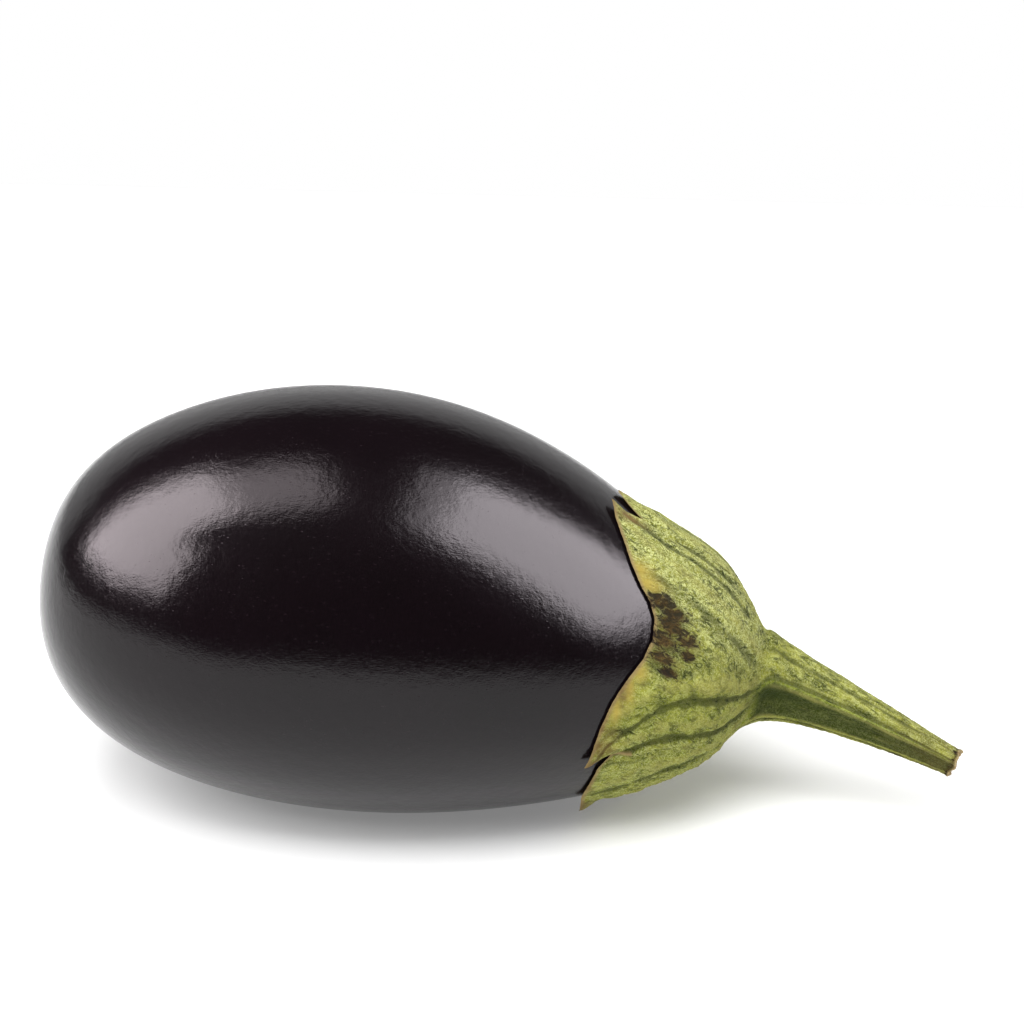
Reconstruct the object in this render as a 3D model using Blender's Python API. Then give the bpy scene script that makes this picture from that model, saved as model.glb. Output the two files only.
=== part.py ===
"""An eggplant as picked, lying on its side on a small flat spot.

Three grown pieces: the fruit, the calyx (one cap of fused sepals over the fruit's crown) and the cut stem.
Metres, +Z up. The origin is the middle of the flat resting spot, and +X runs along the fruit to the stem.

Every round piece is worked out in the fruit's own frame first: x along its length from the widest section,
a radius, and an angle around it that is 0 degrees at -Y and 90 degrees at the top.
"""
import math

import bmesh
import bpy
import numpy as np
from mathutils import Vector

MM = 0.001

# Fruit: a round section on a slightly drooping centreline
WIDEST_RADIUS = 50.0 * MM
BLOSSOM_HALF = 73.0 * MM
BLOSSOM_FULLNESS = 2.49
CROWN_HALF = 93.0 * MM
NECK_TAPER_LENGTH = 110.5 * MM
NECK_TAPER_POWER = 0.92
CROWN_BLUNTNESS = 14
DROOP_AT = 80.0 * MM
DROOP_EVEN = 6.1 * MM
DROOP_TO_STEM = 3.4 * MM
FRUIT_SEGMENTS = 56
FRUIT_RINGS = 36

# How it lies
REST_PITCH = math.radians(4.5)
REST_X = 10.9 * MM
REST_HEIGHT = 49.8 * MM

# Calyx: reach is the way along the fruit's skin from the crown's pole to the sepals' edge
SEPAL_MARKS = (
    (-150, 52.0 * MM),
    (-105, 38.0 * MM),
    (-60, 54.0 * MM),
    (-25, 48.5 * MM),
    (-20, 53.0 * MM),
    (40, 39.0 * MM),
    (85, 53.3 * MM),
    (95, 43.0 * MM),
    (100, 52.0 * MM),
    (160, 37.0 * MM),
    (210, 52.0 * MM),
)
NOTCH_ROUNDING = 0.4
SKIN_GAP = 0.45 * MM
SEPAL_EDGE = 1.1 * MM
SEPAL_THICKNESS = 1.7 * MM
SHOULDER_THICKNESS = 3.4 * MM
SHOULDER_TOP_EXTRA = 4.0 * MM
SHOULDER_REACH = 22.0 * MM
SHOULDER_SPREAD = 11.0 * MM
SHOULDER_SPREAD_TOP_EXTRA = 3.5 * MM
COLLAR_START = 9.0 * MM
COLLAR_BLEND = 0.30
COLLAR_BLEND_TOP_EXTRA = 0.12
CALYX_SEGMENTS = 72
CALYX_RINGS = 24
COLLAR_SHARE = 2 / CALYX_RINGS

# Stem: from the calyx's collar to the cut end
STEM_BASE = Vector((86.7, 0.0, 32.3)) * MM
STEM_ELBOW = Vector((101.5, 0.5, 27.5)) * MM
STEM_CUT = Vector((132.7, -7.7, 14.7)) * MM
STEM_CUT_RADIUS = 3.2 * MM
STEM_TAPER = 6.5 * MM
STEM_FLARE = 1.6 * MM
STEM_FLARE_LENGTH = 0.07
STEM_RIBS = 5
STEM_RIB_DEPTH = 0.05
STEM_SIDES = 30
STEM_STATIONS = 16
JOINT_GAP = 0.3 * MM

SHARP_ANGLE = math.radians(40)


def clear_scene():
    for old in list(bpy.data.objects):
        bpy.data.objects.remove(old, do_unlink=True)


def fruit_radius(x):
    """Radius of the fruit's skin at x, measured from the widest section."""
    if x < 0:
        return WIDEST_RADIUS * max(0.0, 1 - (x / BLOSSOM_HALF) ** 2) ** (1 / BLOSSOM_FULLNESS)
    neck = max(0.0, 1 - (x / NECK_TAPER_LENGTH) ** 2) ** NECK_TAPER_POWER
    crown = math.sqrt(max(0.0, 1 - (x / CROWN_HALF) ** CROWN_BLUNTNESS))
    return WIDEST_RADIUS * neck * crown


def place(x, radius, around):
    """A point in the part's frame from the fruit's own x, radius and angle around it."""
    along = x / DROOP_AT
    centre = -DROOP_EVEN * along**2 - DROOP_TO_STEM * along**3
    y = -radius * math.cos(around)
    z = centre + radius * math.sin(around)
    cos, sin = math.cos(REST_PITCH), math.sin(REST_PITCH)
    return Vector((cos * x + sin * z - REST_X, y, cos * z - sin * x + REST_HEIGHT))


def crown_profile():
    """The skin's profile from the crown's pole outwards: reach, x, radius and outward normal."""
    turn = np.linspace(0, math.radians(80), 1500)
    xs = CROWN_HALF * np.cos(turn)
    radii = np.array([fruit_radius(x) for x in xs])
    dx, dr = np.gradient(xs), np.gradient(radii)
    step = np.hypot(dx, dr)
    reach = np.concatenate([[0.0], np.cumsum(np.hypot(np.diff(xs), np.diff(radii)))])
    return reach, xs, radii, dr / step, -dx / step


PROFILE = crown_profile()


def over_skin(reach, height, around):
    """A point at a height above the fruit's skin, at a reach from the crown's pole."""
    x, radius, out_x, out_radius = (np.interp(reach, PROFILE[0], row) for row in PROFILE[1:])
    return place(x + height * out_x, radius + height * out_radius, around)


def sepal_reach(around):
    """Reach of the calyx's edge at an angle in radians: straight sides, rounded in the notches."""
    degrees = math.degrees(around) % 360
    if degrees > SEPAL_MARKS[-1][0]:
        degrees -= 360
    for (low, reach_low), (high, reach_high) in zip(SEPAL_MARKS, SEPAL_MARKS[1:]):
        if low <= degrees <= high:
            break
    share = (degrees - low) / (high - low)
    soft = share * share * (3 - 2 * share)
    share += NOTCH_ROUNDING * (soft - share)
    return reach_low + share * (reach_high - reach_low)


def stem_centre(along):
    """Centre of the stem from 0 at the collar to 1 at the cut, and its direction there."""
    back = 1 - along
    centre = back**2 * STEM_BASE + 2 * back * along * STEM_ELBOW + along**2 * STEM_CUT
    direction = back * (STEM_ELBOW - STEM_BASE) + along * (STEM_CUT - STEM_ELBOW)
    return centre, direction.normalized()


def stem_radius(along):
    flare = STEM_FLARE * math.exp(-along / STEM_FLARE_LENGTH)
    return STEM_CUT_RADIUS + STEM_TAPER * (1 - along) + flare


def stem_point(along, around, size=1.0):
    """A point on the stem's lightly ribbed surface, or inside it for a size under 1."""
    centre, direction = stem_centre(along)
    up = (Vector((0, 0, 1)) - direction * direction.z).normalized()
    front = direction.cross(up)
    rib = 1 + STEM_RIB_DEPTH * math.cos(STEM_RIBS * (around - math.pi / 2))
    radius = stem_radius(along) * rib * size
    return centre + radius * (math.cos(around) * front + math.sin(around) * up)


def collar_point(around, size=1.0):
    """A point on the calyx's flat end face, a joint's gap away from the stem."""
    _, direction = stem_centre(0)
    return stem_point(0, around, size) - JOINT_GAP * direction


def calyx_outer(along, around):
    """The calyx's outer skin: 0 is the end face's middle, COLLAR_SHARE its rim and 1 the sepals' edge."""
    if along <= COLLAR_SHARE:
        return collar_point(around, along / COLLAR_SHARE)
    share = (along - COLLAR_SHARE) / (1 - COLLAR_SHARE)
    reach = COLLAR_START + share * (sepal_reach(around) - COLLAR_START)
    shoulder = SHOULDER_THICKNESS + SHOULDER_TOP_EXTRA * math.sin(around)
    spread = SHOULDER_SPREAD + SHOULDER_SPREAD_TOP_EXTRA * max(0.0, math.sin(around))
    bulge = math.exp(-(((reach - SHOULDER_REACH) / spread) ** 2))
    height = SEPAL_EDGE if along == 1 else SEPAL_THICKNESS + shoulder * bulge
    blend = COLLAR_BLEND + COLLAR_BLEND_TOP_EXTRA * math.sin(around)
    pull = max(0.0, 1 - share / blend) ** 2
    return over_skin(reach, height, around).lerp(collar_point(around), pull)


def calyx_inner(along, around):
    """The calyx's inner skin, a small gap off the fruit."""
    return over_skin(along * sepal_reach(around), SKIN_GAP, around)


def face_outwards(bm):
    if bm.calc_volume(signed=True) < 0:
        bmesh.ops.reverse_faces(bm, faces=bm.faces)


def round_body(name, segments, rings, shape):
    """A closed body from a sphere: shape gives each point from its share of the way from pole to pole."""
    bm = bmesh.new()
    bmesh.ops.create_uvsphere(bm, u_segments=segments, v_segments=rings, radius=1.0)
    for vert in bm.verts:
        steps = round(math.acos(max(-1.0, min(1.0, vert.co.z))) / math.pi * rings)
        around = -math.atan2(vert.co.y, vert.co.x)
        vert.co = shape(steps / rings, around)
    face_outwards(bm)
    return name, bm


def fruit():
    """The fruit, trimmed flat where it rests."""

    def shape(share, around):
        lengthwise = math.cos(share * math.pi)
        x = lengthwise * (CROWN_HALF if lengthwise > 0 else BLOSSOM_HALF)
        return place(x, fruit_radius(x), around)

    name, bm = round_body("fruit", FRUIT_SEGMENTS, FRUIT_RINGS, shape)
    parts = bm.verts[:] + bm.edges[:] + bm.faces[:]
    trim = bmesh.ops.bisect_plane(bm, geom=parts, plane_co=(0, 0, 0), plane_no=(0, 0, -1), clear_outer=True)
    rim = [item for item in trim["geom_cut"] if isinstance(item, bmesh.types.BMEdge)]
    bmesh.ops.holes_fill(bm, edges=rim)
    return name, bm


def calyx():
    """The sepals fused to one cap: outer skin from the collar to the edge, inner skin back to the pole."""

    def shape(share, around):
        along = 2 * share
        return calyx_outer(along, around) if along <= 1 else calyx_inner(2 - along, around)

    return round_body("calyx", CALYX_SEGMENTS, CALYX_RINGS, shape)


def stem():
    """The cut stem: a cylinder with flat ends, drawn along the stem's centreline."""
    bm = bmesh.new()
    bmesh.ops.create_cone(
        bm, cap_ends=True, segments=STEM_SIDES, radius1=1.0, radius2=1.0, depth=1.0
    )
    sides = [edge for edge in bm.edges if edge.verts[0].co.z * edge.verts[1].co.z < 0]
    bmesh.ops.subdivide_edges(bm, edges=sides, cuts=STEM_STATIONS - 1, use_grid_fill=True)
    for vert in bm.verts:
        vert.co = stem_point(vert.co.z + 0.5, -math.atan2(vert.co.y, vert.co.x))
    face_outwards(bm)
    return "stem", bm


def material(name, colour, roughness):
    made = bpy.data.materials.new(name)
    made.use_nodes = True
    shader = made.node_tree.nodes["Principled BSDF"]
    shader.inputs["Base Color"].default_value = (*colour, 1.0)
    shader.inputs["Roughness"].default_value = roughness
    shader.inputs["Metallic"].default_value = 0.0
    return made


def add_piece(collection, piece, finish):
    name, bm = piece
    mesh = bpy.data.meshes.new(name)
    bm.to_mesh(mesh)
    bm.free()
    mesh.shade_smooth()
    mesh.set_sharp_from_angle(angle=SHARP_ANGLE)
    mesh.materials.append(finish)
    collection.objects.link(bpy.data.objects.new(name, mesh))


def main():
    clear_scene()
    eggplant = bpy.data.collections.new("eggplant")
    bpy.context.scene.collection.children.link(eggplant)
    add_piece(eggplant, fruit(), material("aubergine_skin", (0.012, 0.006, 0.010), 0.22))
    add_piece(eggplant, calyx(), material("sepal_green", (0.24, 0.29, 0.09), 0.80))
    add_piece(eggplant, stem(), material("stem_green", (0.21, 0.26, 0.06), 0.70))


main()
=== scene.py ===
"""An eggplant lying on its side: the looks of its skin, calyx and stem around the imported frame."""
import math

import bmesh
import bpy
import numpy as np
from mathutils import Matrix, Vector, noise


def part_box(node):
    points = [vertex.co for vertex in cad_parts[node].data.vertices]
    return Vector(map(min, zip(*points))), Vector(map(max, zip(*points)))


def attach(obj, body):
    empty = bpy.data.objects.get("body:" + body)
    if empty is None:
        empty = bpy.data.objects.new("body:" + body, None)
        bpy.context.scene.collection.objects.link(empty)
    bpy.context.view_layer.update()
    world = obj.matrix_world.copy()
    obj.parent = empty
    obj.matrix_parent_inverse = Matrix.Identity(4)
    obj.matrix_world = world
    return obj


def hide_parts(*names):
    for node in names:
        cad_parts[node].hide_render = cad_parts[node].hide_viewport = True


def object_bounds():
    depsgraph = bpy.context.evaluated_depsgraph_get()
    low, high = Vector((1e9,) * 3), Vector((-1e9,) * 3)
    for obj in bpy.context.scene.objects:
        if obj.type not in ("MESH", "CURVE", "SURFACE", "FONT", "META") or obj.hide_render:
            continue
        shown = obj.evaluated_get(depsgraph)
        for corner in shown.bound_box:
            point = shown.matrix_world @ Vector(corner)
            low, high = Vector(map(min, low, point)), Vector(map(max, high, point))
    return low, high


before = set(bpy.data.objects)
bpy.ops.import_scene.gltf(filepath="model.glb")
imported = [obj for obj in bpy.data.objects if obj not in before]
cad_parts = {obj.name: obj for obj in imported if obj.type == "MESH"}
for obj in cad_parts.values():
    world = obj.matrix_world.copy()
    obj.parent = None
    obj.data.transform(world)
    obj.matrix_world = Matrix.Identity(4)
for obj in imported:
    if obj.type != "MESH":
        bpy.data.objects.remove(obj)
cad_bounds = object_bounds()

FRUIT_LOW, FRUIT_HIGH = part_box("fruit")
STEM_LOW, STEM_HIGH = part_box("stem")
RADIUS = (FRUIT_HIGH.y - FRUIT_LOW.y) / 2
MM = RADIUS / 50

# The fruit's own frame: x from the widest section, a radius, and an angle around it,
# 0 at -Y and 90 degrees on top
BLOSSOM_HALF = 73.0 * MM
BLOSSOM_FULLNESS = 2.49
CROWN_HALF = 93.0 * MM
NECK_TAPER_LENGTH = 110.5 * MM
NECK_TAPER_POWER = 0.92
CROWN_BLUNTNESS = 14
DROOP_AT = 80.0 * MM
DROOP_EVEN = 6.1 * MM
DROOP_TO_STEM = 3.4 * MM
REST_PITCH = math.radians(4.5)
FRUIT_SEGMENTS = 320
FRUIT_RINGS = 220

# Calyx mesh: columns around it, rings over its outer and inner face, and the reach where the collar starts
CALYX_COLUMNS = 480
CALYX_OUTER_RINGS = 112
CALYX_INNER_RINGS = 12
COLLAR_START = 9.0 * MM

# Stem: the middle of its foot, the middle of its cut, and the point that bends it
STEM_BASE = Vector((STEM_LOW.x + 3.35 * MM, 0.0, STEM_HIGH.z - 11.3 * MM))
STEM_CUT = Vector((STEM_HIGH.x - 1.3 * MM, -7.7 * MM, STEM_LOW.z + 2.85 * MM))
STEM_ELBOW = STEM_BASE.lerp(STEM_CUT, 0.32) + Vector((0.0, 3.0, 0.7)) * MM
STEM_SEGMENTS = 200
STEM_STATIONS = 200


def smooth(low, high, value):
    """0 below low, 1 above high, and a smooth step between them."""
    share = np.clip((value - low) / (high - low), 0, 1)
    return share * share * (3 - 2 * share)


def bump_at(value, centre, width):
    return np.exp(-(((value - centre) / width) ** 2))


def turned(around, centre):
    """How far an angle is from a centre in degrees, the short way round, in degrees."""
    return (np.degrees(around) - centre + 180) % 360 - 180


def rough(points, size, seed, octaves=3):
    """Fractal noise of about -1 to 1 at points, with features of a given size."""
    scale = 1 / size
    offset = Vector((seed * 7.3, seed * 3.1, seed * 5.7))
    return np.array([
        noise.fractal(Vector(point) * scale + offset, 1.0, 2.0, octaves, noise_basis="PERLIN_ORIGINAL")
        for point in points
    ])


# ---------------------------------------------------------------- shape of the fruit


def fruit_radius(x):
    blossom = np.clip(1 - (np.minimum(x, 0) / BLOSSOM_HALF) ** 2, 0, 1) ** (1 / BLOSSOM_FULLNESS)
    neck = np.clip(1 - (np.maximum(x, 0) / NECK_TAPER_LENGTH) ** 2, 0, 1) ** NECK_TAPER_POWER
    crown = np.sqrt(np.clip(1 - (np.maximum(x, 0) / CROWN_HALF) ** CROWN_BLUNTNESS, 0, 1))
    return RADIUS * blossom * neck * crown


def lie(x, radius, around):
    """Points of the lying fruit, before it is moved to its place in the frame."""
    along = x / DROOP_AT
    z = radius * np.sin(around) - DROOP_EVEN * along**2 - DROOP_TO_STEM * along**3
    cos, sin = math.cos(REST_PITCH), math.sin(REST_PITCH)
    return np.stack([cos * x + sin * z, -radius * np.cos(around), cos * z - sin * x], axis=-1)


def frame_offset():
    """What moves the lying fruit onto the frame's fruit: its blossom end and its top agree."""
    x = np.linspace(-BLOSSOM_HALF, CROWN_HALF, 4000)
    top = lie(x, fruit_radius(x), np.full_like(x, math.pi / 2))
    low = lie(x, fruit_radius(x), np.full_like(x, -math.pi / 2))
    end = min(top[:, 0].min(), low[:, 0].min())
    return np.array([FRUIT_LOW.x - end, 0.0, FRUIT_HIGH.z - top[:, 2].max()])


OFFSET = frame_offset()


def place(x, radius, around):
    return lie(x, radius, around) + OFFSET


# Shallow hollows and swellings of the skin: x, angle around, length, width, depth
# (a swelling is negative), in mm and degrees
SKIN_RELIEF = (
    (-22, 27, 11, 12, 0.55),
    (-30, 46, 12, 10, -0.25),
    (-8, 60, 16, 10, 0.20),
    (46, 74, 26, 8, 0.30),
    (30, 100, 30, 12, -0.25),
    (-45, 100, 20, 18, 0.30),
    (10, 190, 30, 20, 0.45),
    (-30, 230, 18, 16, 0.35),
    (40, -40, 24, 14, 0.25),
)
LOBE_HEIGHT = 0.10 * MM
BLOSSOM_DIMPLE_DEPTH = 0.9 * MM
BLOSSOM_DIMPLE_WIDTH = 4.0 * MM


def skin_relief(x, around):
    """How much the skin stands proud of its plain round shape: broad waves and a few shallow hollows."""
    height = np.zeros_like(x)
    for at, angle, length, width, depth in SKIN_RELIEF:
        across = np.radians(turned(around, angle)) * fruit_radius(x)
        height -= depth * MM * bump_at(x, at * MM, length * MM) * bump_at(across, 0, width * MM)
    lobes = np.sin(5 * around + 0.8) * smooth(0, 60 * MM, x) * smooth(92 * MM, 70 * MM, x)
    return height + LOBE_HEIGHT * lobes


def crown_profile():
    """The skin's profile from the crown's pole outwards: reach, x, radius and outward normal."""
    xs = CROWN_HALF * np.cos(np.linspace(0, math.radians(82), 3000))
    radii = fruit_radius(xs)
    dx, dr = np.gradient(xs), np.gradient(radii)
    step = np.hypot(dx, dr)
    reach = np.concatenate([[0.0], np.cumsum(np.hypot(np.diff(xs), np.diff(radii)))])
    return reach, xs, radii, dr / step, -dx / step


PROFILE = crown_profile()


def over_skin(reach, height, around):
    """Points at a height above the skin, at a reach from the crown's pole."""
    x, radius, out_x, out_radius = (np.interp(reach, PROFILE[0], row) for row in PROFILE[1:])
    height = height + skin_relief(x, around)
    return place(x + height * out_x, radius + height * out_radius, around)


def round_grid(segments, rings):
    """A sphere as a grid: its bmesh, and each vertex's ring number and turn (0 to 1) around the pole."""
    bm = bmesh.new()
    bmesh.ops.create_grid(bm, x_segments=segments, y_segments=rings, size=0.5)
    for vert in bm.verts:
        turn = (vert.co.x + 0.5) * 2 * math.pi
        down = (0.5 - vert.co.y) * math.pi
        vert.co = (math.sin(down) * math.cos(turn), -math.sin(down) * math.sin(turn), math.cos(down))
    bmesh.ops.remove_doubles(bm, verts=bm.verts, dist=1e-5)
    co = np.array([vert.co for vert in bm.verts])
    ring = np.round(np.arccos(np.clip(co[:, 2], -1, 1)) / math.pi * rings)
    turn = (-np.arctan2(co[:, 1], co[:, 0]) / (2 * math.pi)) % 1.0
    return bm, ring, turn


def finish_mesh(name, bm, points, materials, sharp=60.0):
    """Moves a bmesh's vertices to their points and makes a smooth-shaded object of it."""
    for vert, point in zip(bm.verts, points):
        vert.co = point
    if bm.calc_volume(signed=True) < 0:
        bmesh.ops.reverse_faces(bm, faces=bm.faces)
    mesh = bpy.data.meshes.new(name)
    bm.to_mesh(mesh)
    bm.free()
    mesh.shade_smooth()
    mesh.set_sharp_from_angle(angle=math.radians(sharp))
    for material in materials:
        mesh.materials.append(material)
    piece = bpy.data.objects.new(name, mesh)
    bpy.context.scene.collection.objects.link(piece)
    return piece


def paint(piece, name, values):
    """Stores one number per vertex for a material to read."""
    layer = piece.data.attributes.new(name, "FLOAT", "POINT")
    layer.data.foreach_set("value", np.asarray(values, dtype=np.float32))


def paint_vector(piece, name, values):
    """Stores one place per vertex for a material's pattern to follow."""
    layer = piece.data.attributes.new(name, "FLOAT_VECTOR", "POINT")
    layer.data.foreach_set("vector", np.asarray(values, dtype=np.float32).ravel())


def fruit_piece(material):
    bm, ring, turn = round_grid(FRUIT_SEGMENTS, FRUIT_RINGS)
    lengthwise = np.cos(ring / FRUIT_RINGS * math.pi)
    x = lengthwise * np.where(lengthwise > 0, CROWN_HALF, BLOSSOM_HALF)
    around = turn * 2 * math.pi
    radius = fruit_radius(x)
    relief = skin_relief(x, around) * smooth(0, 20 * MM, radius)
    dimple = BLOSSOM_DIMPLE_DEPTH * bump_at(radius, 0, BLOSSOM_DIMPLE_WIDTH) * (x < 0)
    points = place(x + dimple, radius + relief, around)
    points[:, 2] = np.maximum(points[:, 2], 0.0)
    return finish_mesh("fruit_skin", bm, points, [material])


# ---------------------------------------------------------------- shape of the stem

# Lengthwise ridges (positive) and hollows (negative) of the stem: angle around, width in degrees,
# share of the radius
STEM_RELIEF = (
    (20, 9, 0.085),
    (31, 5, -0.035),
    (48, 8, 0.030),
    (66, 6, -0.025),
    (88, 12, 0.045),
    (112, 7, -0.035),
    (135, 12, 0.050),
    (170, 12, -0.050),
    (200, 12, 0.070),
    (232, 12, -0.050),
    (262, 12, 0.060),
    (292, 7, -0.040),
    (308, 6, 0.030),
    (318, 5, -0.045),
    (331, 7, 0.070),
    (-4, 13, -0.060),
)
STEM_CUT_RADIUS = 3.2 * MM
STEM_TAPER = 6.5 * MM
STEM_FLARE = 1.6 * MM
STEM_FLARE_LENGTH = 0.13


def stem_centre(along):
    """The stem's middle line and its direction."""
    along = np.asarray(along)[..., None]
    base, elbow, cut = (np.array(point) for point in (STEM_BASE, STEM_ELBOW, STEM_CUT))
    centre = (1 - along) ** 2 * base + 2 * along * (1 - along) * elbow + along**2 * cut
    direction = 2 * (1 - along) * (elbow - base) + 2 * along * (cut - elbow)
    return centre, direction / np.linalg.norm(direction, axis=-1, keepdims=True)


def stem_radius(along, around):
    """The stem's radius with its ridges and hollows, which run out towards the cut."""
    rise = np.sin(around)
    flare = STEM_FLARE * (0.8 - 0.5 * rise + 0.45 * np.maximum(0, rise)) * np.exp(-along / STEM_FLARE_LENGTH)
    plain = STEM_CUT_RADIUS + STEM_TAPER * (1 - along) + flare
    twist = np.degrees(around) - 6 * along
    share = np.zeros_like(plain)
    for angle, width, height in STEM_RELIEF:
        share += height * bump_at((twist - angle + 180) % 360 - 180, 0, width)
    hollow = bump_at((twist + 2 + 180) % 360 - 180, 0, 20) * np.exp(-((along / 0.22) ** 2))
    return plain * (1 + share * (1 - 0.25 * along) - 0.10 * hollow)


def stem_point(along, around, size=1.0, out=0.0):
    centre, direction = stem_centre(along)
    up = np.array([0.0, 0.0, 1.0]) - direction * direction[..., 2:]
    up /= np.linalg.norm(up, axis=-1, keepdims=True)
    front = np.cross(direction, up)
    radius = (stem_radius(along, around) * size + out)[..., None]
    return centre + radius * (front * np.cos(around)[..., None] + up * np.sin(around)[..., None])


# ---------------------------------------------------------------- shape of the calyx

SKIN_GAP = 0.15 * MM
SEPAL_EDGE = 0.65 * MM
SEPAL_THICKNESS = 1.6 * MM
SHOULDER_THICKNESS = 3.4 * MM
SHOULDER_TOP_EXTRA = 4.0 * MM
SHOULDER_REACH = 22.0 * MM
SHOULDER_SPREAD = 11.0 * MM
SHOULDER_SPREAD_TOP_EXTRA = 3.5 * MM
COLLAR_BLEND = 0.30
COLLAR_BLEND_TOP_EXTRA = 0.16

# The calyx runs on over the stem's foot as a thin sheath: shares of the stem's length, rings of the mesh,
# and how often the corner between the two is smoothed
COLLAR_ALONG = 0.012
COLLAR_TOP_BACK = 0.065
SHEATH_ALONG = 0.13
FACE_RINGS = 4
SHEATH_RINGS = 14
JUNCTION_PASSES = 30

# Fine felt on the calyx and the stem
FELT_SIZE = 1.0 * MM
FELT_HEIGHT = 0.11 * MM

# The two slits between sepals that show dry edges: angle around in degrees
UPPER_SLIT = 88.4
LOWER_SLIT = -16.0

# The calyx margin in turn: angle around in degrees and reach from the crown's pole
MARGIN = (
    (-150, 52.0),
    (-134, 46.0),
    (-118, 40.5),
    (-105, 38.2),
    (-94, 40.0),
    (-80, 46.0),
    (-68, 51.4),
    (-60, 54.6),
    (-50, 53.6),
    (-36, 52.0),
    (-21, 49.9),
    (-16.8, 46.8),
    (-14.2, 53.6),
    (-9, 51.9),
    (-1, 50.4),
    (7, 48.3),
    (17.3, 44.7),
    (26.2, 41.3),
    (35.3, 39.3),
    (44.5, 39.2),
    (50.8, 41.0),
    (54.8, 43.5),
    (62.1, 46.6),
    (71.6, 49.4),
    (80.0, 52.0),
    (86.2, 53.6),
    (87.2, 41.0),
    (88.3, 33.5),
    (89.8, 41.0),
    (93.0, 47.0),
    (97.5, 52.0),
    (100, 51.9),
    (112, 48.4),
    (128, 44.0),
    (146, 38.6),
    (160, 37.2),
    (174, 39.4),
    (192, 46.0),
    (210, 52.0),
)

# Creases (negative) and ribs (positive) from the stem to the margin:
# points of angle and reach, width, height
SEPAL_LINES = (
    (((23, 12), (18, 21.6), (12, 32.3), (3, 39), (-6.8, 45.3), (-14, 51)), 0.9, -0.60),
    (((31, 12), (26, 22), (19, 33), (11, 41), (3, 47)), 1.6, 0.42),
    (((8, 12), (6, 22), (1, 32), (-6, 40), (-12, 47)), 1.5, 0.40),
    (((-2, 14), (-5.4, 28), (-10.5, 38.2), (-16.4, 46)), 0.9, -0.60),
    (((-14, 12), (-19, 26), (-27, 40), (-38, 50)), 1.8, 0.40),
    (((-24, 14), (-31, 28), (-40, 42), (-47, 51)), 0.9, -0.40),
    (((-36, 12), (-44, 28), (-51, 42), (-58, 53)), 1.7, 0.40),
    (((-52, 14), (-60, 30), (-66, 44)), 1.0, -0.35),
    (((48, 12), (52, 22), (57, 32), (62, 42)), 1.0, -0.28),
    (((58, 12), (62, 22), (68, 34), (76, 46), (84, 52)), 1.6, 0.35),
    (((76, 22), (79, 32), (80, 39), (82.6, 45), (84, 50)), 0.7, -0.45),
    (((84, 26), (86, 34), (88, 41)), 0.6, -0.60),
    (((92, 16), (94, 28), (96, 40), (98, 51)), 1.6, 0.35),
    (((104, 16), (106, 28), (106, 40), (104, 48)), 0.9, -0.30),
    (((124, 14), (128, 26), (132, 38)), 1.8, 0.25),
    (((150, 14), (158, 26), (162, 36)), 1.8, -0.35),
    (((182, 12), (186, 26), (192, 40)), 1.0, -0.35),
    (((202, 12), (206, 28), (210, 50)), 1.8, 0.45),
    (((-142, 12), (-141, 28), (-142, 42)), 1.0, -0.35),
    (((-118, 14), (-110, 26), (-106, 36)), 1.6, -0.30),
    (((-90, 14), (-86, 28), (-80, 42)), 1.8, 0.30),
)

# Where the margin is worn or dry: angle, reach, width around in degrees, width along in mm
SCAB_SPOTS = (
    (52, 38.6, 5, 4),
    (49, 35, 4.5, 3.5),
    (44, 35.5, 6, 4.5),
    (40, 32, 5, 3),
    (36, 36.5, 7, 4.5),
    (34, 31.5, 3.5, 2),
    (29, 37, 5, 3.5),
    (24, 35.5, 3.5, 3),
)
YELLOW_SPOTS = (
    (57, 42.5, 4, 3.5),
    (61, 44.5, 4, 3),
    (21, 42, 4, 1.6),
    (14, 44.2, 6, 1.2),
    (5, 47, 6, 1.0),
)
DRY_SPOTS = (
    (-9, 50, 5, 3.5),
    (-14, 53, 5, 3.5),
    (0, 49.5, 6, 1.6),
    (12, 45.5, 6, 1.2),
    (-58, 54, 8, 3),
    (-30, 51.5, 10, 0.9),
    (86, 53.5, 5, 2.5),
    (99, 52.5, 5, 1.8),
    (84, 49, 3, 4),
    (-150, 52, 8, 3),
)


def margin_reach(around):
    """How far the calyx reaches along the skin at each angle: tips, notches and slits."""
    angles, reaches = np.array(MARGIN).T
    degrees = (np.degrees(around) + 150) % 360 - 150
    return np.interp(degrees, angles, reaches) * MM


def skin_radius(reach):
    return np.interp(reach, PROFILE[0], PROFILE[2])


def spots(around, reach, table):
    """How much a place lies in the spots of a table, 0 to 1."""
    total = np.zeros_like(reach)
    for angle, at, wide, long in table:
        spot = bump_at(turned(around, angle), 0, wide) * bump_at(reach, at * MM, long * MM)
        total = np.maximum(total, spot)
    return total


def line_relief(around, reach):
    """Creases and ribs of the sepals, and how deep in a crease each place is."""
    height = np.zeros_like(reach)
    for points, width, tall in SEPAL_LINES:
        angles, reaches = np.array(points).T
        angle = np.interp(reach / MM, reaches, angles)
        across = np.radians(turned(around, angle)) * skin_radius(reach)
        ends = smooth(reaches[0] - 4, reaches[0] + 2, reach / MM)
        ends *= smooth(reaches[-1] + 3, reaches[-1] - 1, reach / MM)
        height += tall * MM * bump_at(across, 0, width * MM) * ends
    return height


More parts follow.
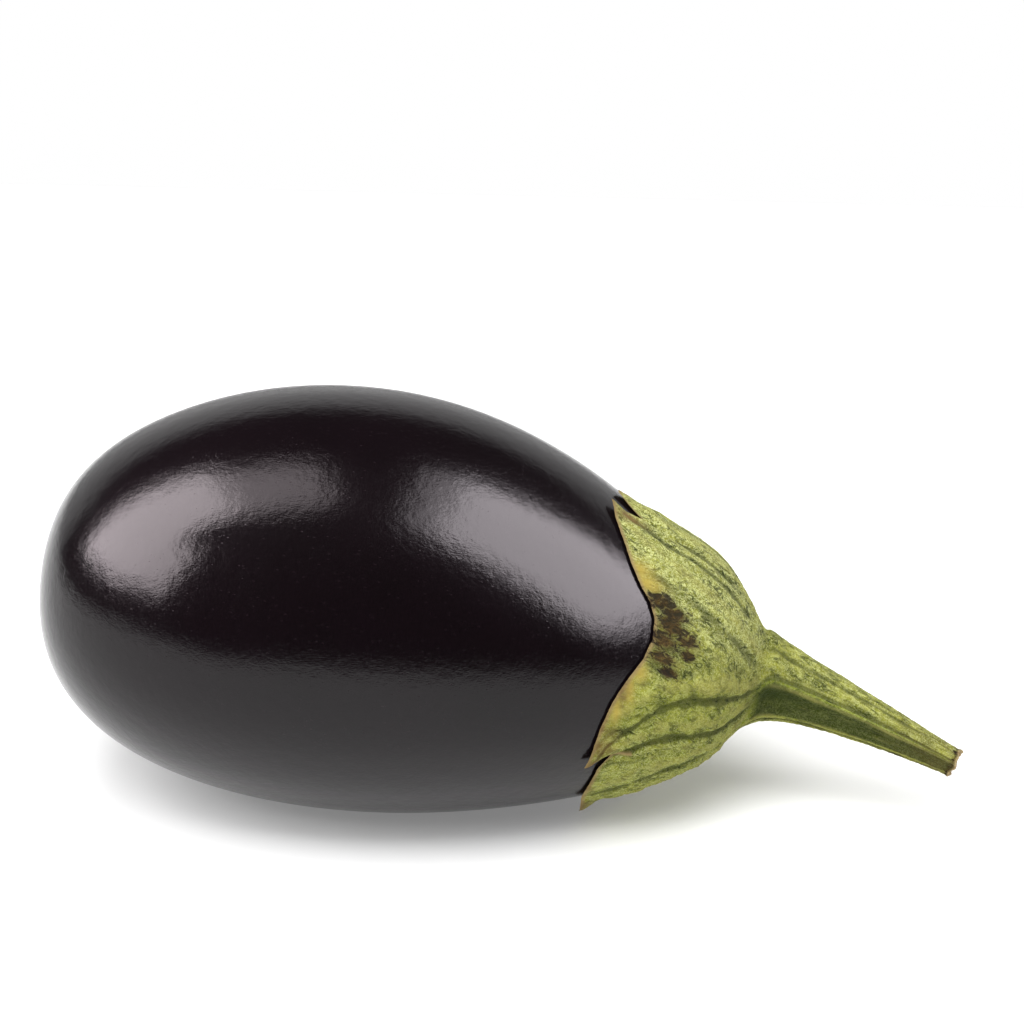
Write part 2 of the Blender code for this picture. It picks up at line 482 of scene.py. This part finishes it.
def calyx_columns():
    """Angles of the calyx's columns, closer together at the slits and tips."""
    degrees = np.linspace(-180, 180, 7201)
    density = np.ones_like(degrees)
    for angle, width, extra in ((-15.5, 3, 7), (88, 4, 7), (-59, 4, 2), (99, 5, 2), (-150, 4, 2)):
        density += extra * bump_at(degrees, angle, width)
    total = np.concatenate([[0], np.cumsum((density[1:] + density[:-1]) / 2)])
    share = np.arange(CALYX_COLUMNS) / CALYX_COLUMNS
    return np.radians(np.interp(share, total / total[-1], degrees))


def tip_bend(around, reach):
    """Sideways bend of the sepal tips that curl round: the angle to add, in radians."""
    bend = -7.2 * bump_at(turned(around, -15), 0, 24) * smooth(46 * MM, 53.6 * MM, reach)
    bend += -3.0 * bump_at(turned(around, -59), 0, 8) * smooth(50.5 * MM, 54.6 * MM, reach)
    bend += 1.2 * bump_at(turned(around, 86), 0, 2) * smooth(50 * MM, 54 * MM, reach)
    return np.radians(bend)


def tip_lift(around, reach):
    """How far the sepal tips stand off the skin."""
    lift = 2.6 * bump_at(turned(around, -59), 0, 9) * smooth(47.5 * MM, 54.6 * MM, reach)
    lift += 0.8 * bump_at(turned(around, -14), 0, 6) * smooth(48 * MM, 53.6 * MM, reach)
    lift += 0.7 * bump_at(turned(around, 85), 0, 5) * smooth(48 * MM, 53.6 * MM, reach)
    lift += 0.5 * bump_at(turned(around, 99), 0, 5) * smooth(47 * MM, 52 * MM, reach)
    return lift * MM


def grain_points(around, reach, stretch):
    """Places for noise that runs lengthwise over the sepals."""
    radius = skin_radius(reach)
    return np.stack([radius * np.cos(around), radius * np.sin(around), reach / stretch], axis=-1)


def collar_along(around):
    """Where the calyx meets the stem, further back on top."""
    return COLLAR_ALONG - COLLAR_TOP_BACK * np.maximum(0, np.sin(around)) ** 2


def calyx_surface(around, share):
    """Outer face of the calyx from the stem (share 0) to the margin (share 1), with its reach and relief."""
    margin = margin_reach(around)
    reach = COLLAR_START + share * (margin - COLLAR_START)
    bent = around + tip_bend(around, reach)
    spread = SHOULDER_SPREAD + SHOULDER_SPREAD_TOP_EXTRA * np.maximum(0, np.sin(bent))
    bulge = bump_at(reach, SHOULDER_REACH, spread)
    shoulder = SHOULDER_THICKNESS + SHOULDER_TOP_EXTRA * np.sin(bent)
    flat = 0.55 * bump_at(turned(around, 40), 0, 13) * smooth(24 * MM, 38 * MM, reach)
    plain = SEPAL_THICKNESS + shoulder * bulge
    edge = smooth(1.0, 0.80, share)
    height = SEPAL_EDGE + (plain - SEPAL_EDGE) * edge * (1 - flat)
    folds = rough(grain_points(around, reach, 3.2), 2.4 * MM, 1, 4)
    lower = smooth(48, 30, turned(around, 0)) * smooth(-150, -120, turned(around, 0))
    lines = line_relief(around, reach) + (0.20 + 0.26 * lower) * MM * folds
    height = height + lines * (0.25 + 0.75 * edge) + tip_lift(around, reach)
    blend = COLLAR_BLEND + COLLAR_BLEND_TOP_EXTRA * np.sin(around)
    pull = np.maximum(0, 1 - share / blend)[..., None] ** 2
    collar = stem_point(collar_along(around), around)
    points = over_skin(reach, height, bent) * (1 - pull) + collar * pull
    return points, reach, lines


def felted(piece, amount):
    """Moves a piece's points in and out by a fine felt that depends only on where they are."""
    mesh = piece.data
    points = np.array([vert.co for vert in mesh.vertices])
    normals = np.array([vert.normal for vert in mesh.vertices])
    felt = rough(points, FELT_SIZE, 2, 3) * FELT_HEIGHT * amount
    moved = points + normals * felt[:, None]
    mesh.vertices.foreach_set("co", moved.ravel())
    mesh.update()


def stem_fibres(along, around):
    """Lengthwise fibres of the stem, about -1 to 1."""
    length = (STEM_CUT - STEM_BASE).length
    lengthwise = [np.cos(around) * 7 * MM, np.sin(around) * 7 * MM, along * length / 6]
    return rough(np.stack(lengthwise, axis=-1), 1.5 * MM, 5, 3)


def stem_hollow_shade(along, around):
    """Painted shade in the hollow under the stem's front ridge, deepest where the stem leaves the calyx."""
    degrees = (np.degrees(around) - 6 * along + 180) % 360 - 180
    return 0.85 * bump_at(degrees, 8, 13) * smooth(0.42, 0.02, along)


def stem_marks(along, around, fibres):
    """Creases and the bare front of the stem, for its material: the creases carry painted shade and the
    ridges a painted highlight.
    """
    degrees = (np.degrees(around) - 6 * along + 180) % 360 - 180
    crease = -0.5 * fibres
    for angle, deep in ((31, 1.1), (66, 0.7), (112, 0.8), (170, 1.0), (232, 1.0), (292, 1.0), (318, 1.3)):
        crease += deep * bump_at((degrees - angle + 180) % 360 - 180, 0, 4.5)
    for angle in (20, 331):
        crease -= 0.8 * bump_at((degrees - angle + 180) % 360 - 180, 0, 4)
    bare = smooth(-34, -24, degrees) * smooth(33, 19, degrees)
    return np.clip(crease, -1, 1), bare


def calyx_piece(material):
    rings = CALYX_OUTER_RINGS + CALYX_INNER_RINGS
    bm, ring, turn = round_grid(CALYX_COLUMNS, rings)
    columns = calyx_columns()
    around = columns[np.round(turn * CALYX_COLUMNS).astype(int) % CALYX_COLUMNS]
    outer = ring <= CALYX_OUTER_RINGS
    sheath = np.clip((ring - FACE_RINGS) / SHEATH_RINGS, 0, 1)
    before = FACE_RINGS + SHEATH_RINGS
    share = np.clip((ring - before) / (CALYX_OUTER_RINGS - before), 0, 1)
    surface, reach, lines = calyx_surface(around, share)
    along = SHEATH_ALONG + (collar_along(around) - SHEATH_ALONG) * sheath
    size = np.clip(ring / FACE_RINGS, 0, 1)
    fibres = stem_fibres(along, around)
    spread = 0.16 * MM * fibres * smooth(0, 0.3, size)
    stalk = stem_point(along, around, size, spread)
    points = np.where((share > 0)[:, None], surface, stalk)
    inner_reach = (rings - ring) / CALYX_INNER_RINGS * margin_reach(around)
    bent = around + tip_bend(around, inner_reach)
    inner = over_skin(inner_reach, SKIN_GAP + tip_lift(around, inner_reach), bent)
    points = np.where(outer[:, None], points, inner)
    for vert, point in zip(bm.verts, points):
        vert.co = point
    bm.verts.ensure_lookup_table()
    corner = [bm.verts[i] for i in np.flatnonzero(outer & (share < 0.17) & (sheath > 0.25))]
    every_axis = {"use_axis_x": True, "use_axis_y": True, "use_axis_z": True}
    for _ in range(JUNCTION_PASSES):
        bmesh.ops.smooth_vert(bm, verts=corner, factor=0.5, **every_axis)
    points = [vert.co.copy() for vert in bm.verts]
    piece = finish_mesh("calyx_sepals", bm, points, [material], 75)
    felted(piece, np.where(outer, 1.0, 0.0))
    margin = margin_reach(around)
    from_edge = (margin - reach) / MM
    slit = np.minimum(np.abs(turned(around, UPPER_SLIT)), np.abs(turned(around, LOWER_SLIT))) * 0.75
    from_edge = np.where(reach > 42 * MM, np.minimum(from_edge, slit + 0.2), from_edge)
    stem_crease, bare = stem_marks(along, around, fibres)
    on_sepal = smooth(0.0, 0.14, share)
    # Crease depth for the material, which paints the creases darker as painted shade and the ribs lighter as
    # a painted highlight.
    creases = np.clip(-lines / (0.45 * MM), -1, 1) * on_sepal + stem_crease * (1 - on_sepal)
    paint(piece, "edge", np.where(outer, smooth(1.5, 0.2, from_edge), 1.0))
    paint(piece, "crease", creases)
    paint(piece, "scab", spots(around, reach, SCAB_SPOTS))
    paint(piece, "yellow", spots(around, reach, YELLOW_SPOTS))
    paint(piece, "dry", np.where(outer, spots(around, reach, DRY_SPOTS), 0.6))
    # Less felt on the front and the underside of the sepals, which makes them a little darker there.
    felt_thinned_front_and_below = 0.2 * smooth(32, 8, turned(around, 0))
    paint(piece, "bare", np.maximum(bare * (1 - on_sepal), felt_thinned_front_and_below * on_sepal))
    # Painted shade in the hollow where the stem leaves the calyx, spreading wider over the sepals' foot.
    widening = np.minimum(share, 0.16)
    spread_out = 13 + 90 * widening
    hollow = 0.85 * np.exp(-((turned(around, 8 + 60 * widening) / spread_out) ** 2))
    hollow *= smooth(0.24, 0.02, share)
    paint(piece, "shadow_green", np.where(share > 0, hollow, stem_hollow_shade(along, around)))
    # Felt fullest on the upper side: partly the sepals' own felt, partly a painted top light that makes the
    # upper side paler.
    felt_and_top_light = smooth(34, 58, turned(around, 0)) * smooth(150, 110, turned(around, 0))
    felt_and_top_light = np.maximum(felt_and_top_light, 0.35 * smooth(5, -15, turned(around, 0)))
    outwards = 0.85 + 0.15 * smooth(20 * MM, 27 * MM, reach)
    paint(piece, "felt_and_top_light", felt_and_top_light * smooth(0.02, 0.25, share) * outwards)
    grain = grain_points(around, reach, 3.0)
    grain[:, 2] -= np.where(share > 0, 0, along - collar_along(around)) * (STEM_CUT - STEM_BASE).length / 3
    paint_vector(piece, "grain", grain)
    return piece


def stem_piece(material):
    base_rings, cut_rings = 6, 16
    rings = base_rings + STEM_STATIONS + cut_rings
    bm, ring, turn = round_grid(STEM_SEGMENTS, rings)
    around = turn * 2 * math.pi
    start = SHEATH_ALONG - 0.03
    station = np.clip((ring - base_rings) / STEM_STATIONS, 0, 1)
    along = start + station * (1 - start)
    base_size = np.clip(ring / base_rings, 0, 1)
    cut = np.clip((ring - base_rings - STEM_STATIONS) / cut_rings, 0, 1)
    length = (STEM_CUT - STEM_BASE).length
    fibres = stem_fibres(along, around)
    sunk = 1 - 0.05 * smooth(SHEATH_ALONG + 0.002, SHEATH_ALONG - 0.006, along)
    rim = 0.10 * smooth(0.982, 0.996, along) * smooth(1.0, 0.998, along)
    size = base_size * sunk * (1 + rim) * (1 - cut)
    points = stem_point(along, around, size, 0.16 * MM * fibres * (1 - cut) * base_size)
    direction = stem_centre(along)[1]
    ragged = rough(points, 1.3 * MM, 9, 3)
    corner = np.sin(3 * around + 0.6) + 0.6 * np.sin(7 * around)
    dish = 0.30 * smooth(0.95, 1.0, along) * corner * (1 - cut) + 0.16 * ragged * (along >= 0.995)
    dish -= 0.9 * smooth(0.06, 0.30, cut) * (along >= 1)
    points = points + direction * (dish * MM)[:, None]
    piece = finish_mesh("stem_stalk", bm, points, [material], 60)
    felted(piece, np.where((station > 0) & (cut == 0), 1.0, 0.0))
    crease, bare = stem_marks(along, around, fibres)
    paint(piece, "edge", np.zeros_like(along))
    paint(piece, "crease", crease)
    band = smooth(0.966, 0.986, along + 0.010 * ragged) * smooth(0.998, 0.988, along)
    paint(piece, "scab", 0.80 * band)
    paint(piece, "yellow", np.zeros_like(along))
    paint(piece, "dry", 0.25 * smooth(0.6, 1.0, along))
    paint(piece, "bare", bare)
    # Painted shade in the hollow under the stem's front ridge.
    paint(piece, "shadow_green", stem_hollow_shade(along, around))
    paint(piece, "cut", smooth(0.988, 0.996, along))
    # More felt on the stem's upper side: partly its own felt, partly a painted top light.
    paint(piece, "felt_and_top_light", 0.25 * smooth(40, 75, turned(around, 0)))
    grain = [np.cos(around) * 7 * MM, np.sin(around) * 7 * MM, along * length / 4]
    paint_vector(piece, "grain", np.stack(grain, axis=-1))
    return piece


# ---------------------------------------------------------------- materials


def colour(hex_value):
    """A linear colour from an sRGB hex value."""
    parts = [int(hex_value[i:i + 2], 16) / 255 for i in (1, 3, 5)]
    return [part / 12.92 if part <= 0.04045 else ((part + 0.055) / 1.055) ** 2.4 for part in parts] + [1.0]


def add(tree, kind, inputs=None, **settings):
    """Adds a node: its settings, and for each input a value or the socket that feeds it."""
    made = tree.nodes.new("ShaderNode" + kind)
    for name, value in settings.items():
        setattr(made, name, value)
    for name, value in (inputs or {}).items():
        if isinstance(value, bpy.types.NodeSocket):
            tree.links.new(value, made.inputs[name])
        else:
            made.inputs[name].default_value = value
    return made.outputs


def new_material(name):
    material = bpy.data.materials.new(name)
    material.use_nodes = True
    material.node_tree.nodes.clear()
    return material, material.node_tree


def finish_material(tree, surface):
    add(tree, "OutputMaterial", {"Surface": surface["BSDF"]})


def waxy_aubergine_skin():
    """Fresh aubergine skin, grown: a thin wax over near-black purple, glossy, with a fine grain along it."""
    material, tree = new_material("waxy_aubergine_skin")
    place_in = add(tree, "TexCoord")["Object"]
    lengthwise = add(tree, "Mapping", {
        "Vector": place_in, "Rotation": (0, -REST_PITCH, 0), "Scale": (1, 3, 3),
    })
    # Skin cells line up lengthwise: streaks of about 0.9 by 0.3 mm, pores 2.4 by 0.8 mm apart, waves of 3 mm
    streaks = add(tree, "TexNoise", {
        "Vector": lengthwise[0], "Scale": 1100.0, "Detail": 2.0, "Roughness": 0.6,
    })
    waves = add(tree, "TexNoise", {"Vector": place_in, "Scale": 330.0, "Detail": 3.0, "Roughness": 0.6})
    blush = add(tree, "TexNoise", {"Vector": place_in, "Scale": 35.0, "Detail": 3.0})
    pores = add(tree, "TexVoronoi", {"Vector": lengthwise[0], "Scale": 420.0, "Randomness": 1.0})
    pore = add(tree, "MapRange", {"Value": pores["Distance"], "From Min": 0.05, "From Max": 0.16})
    tone = add(tree, "Mix", {0: blush[0], 6: colour("#080506"), 7: colour("#10090D")}, data_type="RGBA")
    speck = add(tree, "Mix", {0: pore[0], 6: colour("#1D1519"), 7: tone[2]}, data_type="RGBA")
    dull = add(tree, "MapRange", {"Value": streaks[0], "To Min": 0.12, "To Max": 0.21})
    fine = add(tree, "Bump", {"Height": streaks[0], "Distance": 3.0e-5, "Strength": 1.0})
    peel = add(tree, "Bump", {"Height": waves[0], "Distance": 9e-5, "Strength": 1.0, "Normal": fine[0]})
    pits = add(tree, "Bump", {"Height": pore[0], "Distance": 1.2e-5, "Strength": 1.0, "Normal": peel[0]})
    surface = add(tree, "BsdfPrincipled", {
        "Base Color": speck[2], "Roughness": dull[0], "IOR": 1.32, "Normal": pits[0],
    })
    finish_material(tree, surface)
    return material


def attribute(tree, name):
    return add(tree, "Attribute", attribute_name=name)["Fac"]


def green_tissue(name, with_cut):
    """Calyx and stem of an aubergine, grown: matt green under short star-shaped hairs, beige where dry, with
    painted shade in the creases and in the hollow at the stem's foot, painted highlights on the ribs and
    along the bare facet, and a painted top light in the felt.
    """
    material, tree = new_material(name)
    place_in = add(tree, "TexCoord")["Object"]
    grain = add(tree, "Attribute", attribute_name="grain")["Vector"]
    # Real hair stars are 0.3 to 0.5 mm across, too fine to show, so they are drawn at 0.8 mm.
    # Fibres are about 1.1 by 3.3 mm, and the mottling runs over about 4 mm.
    patches = add(tree, "TexNoise", {"Vector": place_in, "Scale": 260.0, "Detail": 4.0, "Roughness": 0.62})
    hairs = add(tree, "TexNoise", {
        "Vector": place_in, "Scale": 1300.0, "Detail": 3.0, "Roughness": 0.7, "Distortion": 2.2,
    })
    fibres = add(tree, "TexNoise", {
        "Vector": grain, "Scale": 900.0, "Detail": 4.0, "Roughness": 0.68, "Distortion": 0.9,
    })
    crease = attribute(tree, "crease")
    patch = add(tree, "MapRange", {"Value": patches[0], "From Min": 0.38, "From Max": 0.62})
    felt = add(tree, "MapRange", {"Value": hairs[0], "From Min": 0.45, "From Max": 0.57})
    fleck = add(tree, "MapRange", {"Value": fibres[0], "From Min": 0.50, "From Max": 0.60})
    green = add(tree, "Mix", {0: patch[0], 6: colour("#6A7020"), 7: colour("#9A9C3A")}, data_type="RGBA")
    facet = attribute(tree, "bare")
    # Painted highlight: a brighter yellow-green band along the edges of the bare facet.
    rim_light = add(tree, "MapRange", {"Value": facet, "From Min": 0.05, "From Max": 0.40})
    rim_lit_green = add(tree, "Mix", {0: rim_light[0], 6: green[2], 7: colour("#7F8A1C")}, data_type="RGBA")
    naked = add(tree, "MapRange", {"Value": facet, "From Min": 0.50, "From Max": 0.95})
    bare = add(tree, "Mix", {0: naked[0], 6: rim_lit_green[2], 7: colour("#353F07")}, data_type="RGBA")
    # Felt cover, fullest on the upper side: partly the tissue's own felt, partly a painted top light.
    down = add(tree, "MapRange", {"Value": attribute(tree, "felt_and_top_light"), "To Min": 0.42, "To Max": 0.90})
    kept = add(tree, "MapRange", {"Value": facet, "To Min": 1.0, "To Max": 0.25})
    thin = add(tree, "Math", {0: down[0], 1: kept[0]}, operation="MULTIPLY")
    cover = add(tree, "Math", {0: felt[0], 1: thin[0]}, operation="MULTIPLY")
    felted = add(tree, "Mix", {0: cover[0], 6: bare[2], 7: colour("#DADE98")}, data_type="RGBA")
    # Painted shade: the creases are darkened; the fibre flecks joined with it are the tissue's own colour.
    crease_shade = add(tree, "MapRange", {"Value": crease, "From Min": 0.0, "From Max": 0.7, "To Max": 0.72})
    thick = add(tree, "Math", {0: crease_shade[0], 1: patch[0]}, operation="SUBTRACT")
    flecked = add(tree, "MapRange", {
        "Value": thick[0], "From Min": -1.0, "From Max": 0.3, "To Min": 0.40, "To Max": 1.0,
    })
    flecks = add(tree, "Math", {0: fleck[0], 1: flecked[0]}, operation="MULTIPLY")
    shade = add(tree, "Math", {0: crease_shade[0], 1: flecks[0]}, operation="MAXIMUM")
    shaded = add(tree, "Mix", {0: shade[0], 6: felted[2], 7: colour("#2F3711")}, data_type="RGBA")
    # Painted highlight: the ribs and the stem's ridges are lightened.
    rib_highlight = add(tree, "MapRange", {"Value": crease, "From Min": -0.2, "From Max": -0.9, "To Max": 0.40})
    ribbed = add(tree, "Mix", {0: rib_highlight[0], 6: shaded[2], 7: colour("#A5A055")}, data_type="RGBA")
    edged = ribbed
    # Painted shade in the hollow at the stem's foot comes first; the yellow spots and the beige edges after
    # it are the tissue's own colours.
    for painted, tone in (("shadow_green", "#2E3A10"), ("yellow", "#B4A04A"), ("edge", "#A08A5C")):
        edged = add(tree, "Mix", {
            0: attribute(tree, painted), 6: edged[2], 7: colour(tone),
        }, data_type="RGBA")
    dry = add(tree, "Math", {0: attribute(tree, "dry"), 1: flecked[0]}, operation="MULTIPLY")
    dried = add(tree, "Mix", {0: dry[0], 6: edged[2], 7: colour("#7A6138")}, data_type="RGBA")
    cork = add(tree, "MapRange", {"Value": fibres[0], "From Min": 0.42, "From Max": 0.62})
    corky = add(tree, "Mix", {0: cork[0], 6: colour("#150B08"), 7: colour("#4A3214")}, data_type="RGBA")
    speckle = add(tree, "MapRange", {"Value": fibres[0], "From Min": 0.66, "From Max": 0.36, "To Max": 0.75})
    broken = add(tree, "Math", {0: speckle[0], 1: patches[0]}, operation="ADD")
    sum_in = add(tree, "Math", {0: attribute(tree, "scab"), 1: broken[0]}, operation="ADD")
    scabby = add(tree, "MapRange", {"Value": sum_in[0], "From Min": 1.22, "From Max": 1.70, "To Max": 0.96})
    colour_out = add(tree, "Mix", {0: scabby[0], 6: dried[2], 7: corky[2]}, data_type="RGBA")
    if with_cut:
        pith = add(tree, "Mix", {0: felt[0], 6: colour("#C2AE84"), 7: colour("#96794A")}, data_type="RGBA")
        colour_out = add(tree, "Mix", {
            0: attribute(tree, "cut"), 6: colour_out[2], 7: pith[2],
        }, data_type="RGBA")
    rough_out = add(tree, "MapRange", {"Value": attribute(tree, "bare"), "To Min": 0.72, "To Max": 0.5})
    coarse = add(tree, "Bump", {"Height": fibres[0], "Distance": 8e-4, "Strength": 1.0})
    fine = add(tree, "Bump", {"Height": hairs[0], "Distance": 4e-4, "Strength": 0.9, "Normal": coarse[0]})
    surface = add(tree, "BsdfPrincipled", {
        "Base Color": colour_out[2], "Roughness": rough_out[0], "IOR": 1.4, "Normal": fine[0],
        "Sheen Weight": 0.02, "Sheen Roughness": 0.5, "Sheen Tint": colour("#E8ECB0"),
        "Specular IOR Level": 0.12,
    })
    finish_material(tree, surface)
    return material


# ---------------------------------------------------------------- floor, light and camera


def plain_material(name, hex_value, strength=0.0):
    material, tree = new_material(name)
    surface = add(tree, "BsdfPrincipled", {
        "Base Color": colour(hex_value), "Roughness": 0.9, "Specular IOR Level": 0.2,
        "Emission Color": colour("#FFFFFF"), "Emission Strength": strength,
    })
    finish_material(tree, surface)
    return material


def card(name, corners, material):
    """A flat four-cornered sheet of the studio."""
    bm = bmesh.new()
    bm.faces.new([bm.verts.new(corner) for corner in corners])
    mesh = bpy.data.meshes.new(name)
    bm.to_mesh(mesh)
    bm.free()
    mesh.materials.append(material)
    sheet = bpy.data.objects.new(name, mesh)
    bpy.context.scene.collection.objects.link(sheet)
    return sheet


def direction_to(azimuth, elevation):
    """The direction of a place in the studio; azimuth 0 is towards -Y and 90 towards +X."""
    azimuth, elevation = math.radians(azimuth), math.radians(elevation)
    across = math.cos(elevation)
    return Vector((math.sin(azimuth) * across, -math.cos(azimuth) * across, math.sin(elevation)))


def soft_box(name, spec, target):
    """A soft light that faces the target."""
    azimuth, elevation, distance, width, height, shift, radiance, tint, seen_by = spec
    toward = direction_to(azimuth, elevation)
    turn = toward.to_track_quat("Z", "Y")
    data = bpy.data.lights.new(name, "AREA")
    data.shape = "RECTANGLE"
    data.size, data.size_y = width, height
    data.energy = radiance * math.pi * width * height
    data.color = colour(tint)[:3]
    lamp = bpy.data.objects.new(name, data)
    lamp.location = target + toward * distance + turn @ Vector((*shift, 0))
    lamp.rotation_euler = turn.to_euler()
    lamp.visible_camera = False
    lamp.visible_glossy = seen_by != "diffuse"
    lamp.visible_diffuse = seen_by != "glossy"
    bpy.context.scene.collection.objects.link(lamp)
    return lamp


MIDDLE = (Vector(cad_bounds[0]) + Vector(cad_bounds[1])) / 2
FLOOR_CORNERS = [(-0.9, -0.46, 0), (0.9, -0.32, 0), (0.9, 0.42, 0), (-0.9, 0.42, 0)]
BACKDROP_CORNERS = [(-1.2, 0.6, 0.0), (1.2, 0.6, 0.0), (1.2, 0.6, 0.45), (-1.2, 0.6, 0.45)]
CAMERA_TARGET = Vector((MIDDLE.x + 2.2 * MM, 0.0, MIDDLE.z + 23.6 * MM))
CAMERA_AZIMUTH = 4.0
CAMERA_ELEVATION = 26.0
CAMERA_DISTANCE = 659.8 * MM

# Soft lights: azimuth, elevation, distance, width, height, shift across and up, radiance, tint, and
# what they light. The boxes that gleam in the skin are apart from the ones that light the floor and
# the green parts, so that neither is overexposed.
SOFT_LIGHTS = {
    "gleam_left": (-76, 38, 0.80, 0.47, 0.69, (-0.07, -0.015), 15.0, "#FFF2F7", "glossy"),
    "gleam_left_upper": (-76, 38, 0.80, 0.42, 0.40, (-0.02, 0.60), 5.4, "#FFF2F7", "glossy"),
    "gleam_left_middle": (-76, 38, 0.80, 0.44, 0.07, (-0.05, 0.365), 8.0, "#FFF2F7", "glossy"),
    "gleam_left_lower": (-76, 38, 0.80, 0.22, 0.33, (0.275, -0.155), 13.0, "#FFF2F7", "glossy"),
    "gleam_right": (86, 36, 0.80, 0.70, 0.80, (0.0, 0.10), 13.6, "#FFF6FC", "glossy"),
    "gleam_right_upper": (86, 36, 0.80, 0.70, 0.18, (0.0, 0.60), 4.8, "#FFF6FC", "glossy"),
    "side_left": (-70, 38, 1.1, 0.8, 0.8, (0.0, 0.0), 3.4, "#FFFFFF", "diffuse"),
    "side_right": (86, 50, 1.1, 1.0, 1.0, (0.0, 0.0), 0.3, "#FFFFFF", "diffuse"),
    "overhead": (0, 77, 1.6, 1.4, 1.4, (0.0, 0.0), 6.6, "#FFFFFF", "diffuse"),
    "front_top": (-22, 50, 1.5, 0.9, 0.7, (0.0, 0.0), 4.6, "#FFFFFF", "diffuse"),
}


def studio():
    """Floor, backdrop, soft lights, and a world that is white behind the object and dim as a light."""
    paper = plain_material("lit_acrylic_table", "#E6E6E6", 0.20)
    glow = plain_material("lit_backdrop", "#000000", 0.75)
    card("floor", FLOOR_CORNERS, paper)
    back = card("backdrop", BACKDROP_CORNERS, glow)
    back.visible_camera = False
    for name, spec in SOFT_LIGHTS.items():
        soft_box(name, spec, MIDDLE)
    world = bpy.data.worlds.new("studio_world")
    bpy.context.scene.world = world
    world.use_nodes = True
    tree = world.node_tree
    tree.nodes.clear()
    seen = add(tree, "LightPath")["Is Camera Ray"]
    around = add(tree, "Mix", {0: seen, 6: colour("#303030"), 7: colour("#FFFFFF")}, data_type="RGBA")
    sky = add(tree, "Background", {"Color": around[2], "Strength": 1.0})
    add(tree, "OutputWorld", {"Surface": sky["Background"]})
    bpy.context.scene.view_settings.view_transform = "Standard"


def camera():
    back = direction_to(CAMERA_AZIMUTH, CAMERA_ELEVATION)
    data = bpy.data.cameras.new("camera")
    data.lens = 100
    data.sensor_width = 36
    data.clip_start = 0.01
    eye = bpy.data.objects.new("camera", data)
    eye.location = CAMERA_TARGET + back * CAMERA_DISTANCE
    eye.rotation_euler = back.to_track_quat("Z", "Y").to_euler()
    bpy.context.scene.collection.objects.link(eye)
    bpy.context.scene.camera = eye


# ---------------------------------------------------------------- the object

camera()
studio()
skin = waxy_aubergine_skin()
sepal_green = green_tissue("felted_sepal", False)
stem_green = green_tissue("felted_stem", True)

fruit = fruit_piece(skin)
calyx = calyx_piece(sepal_green)
stem = stem_piece(stem_green)
for piece, node, slot in (
    (fruit, "fruit", "aubergine_skin"),
    (calyx, "calyx", "sepal_green"),
    (stem, "stem", "stem_green"),
):
    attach(piece, "root")
    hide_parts(node)
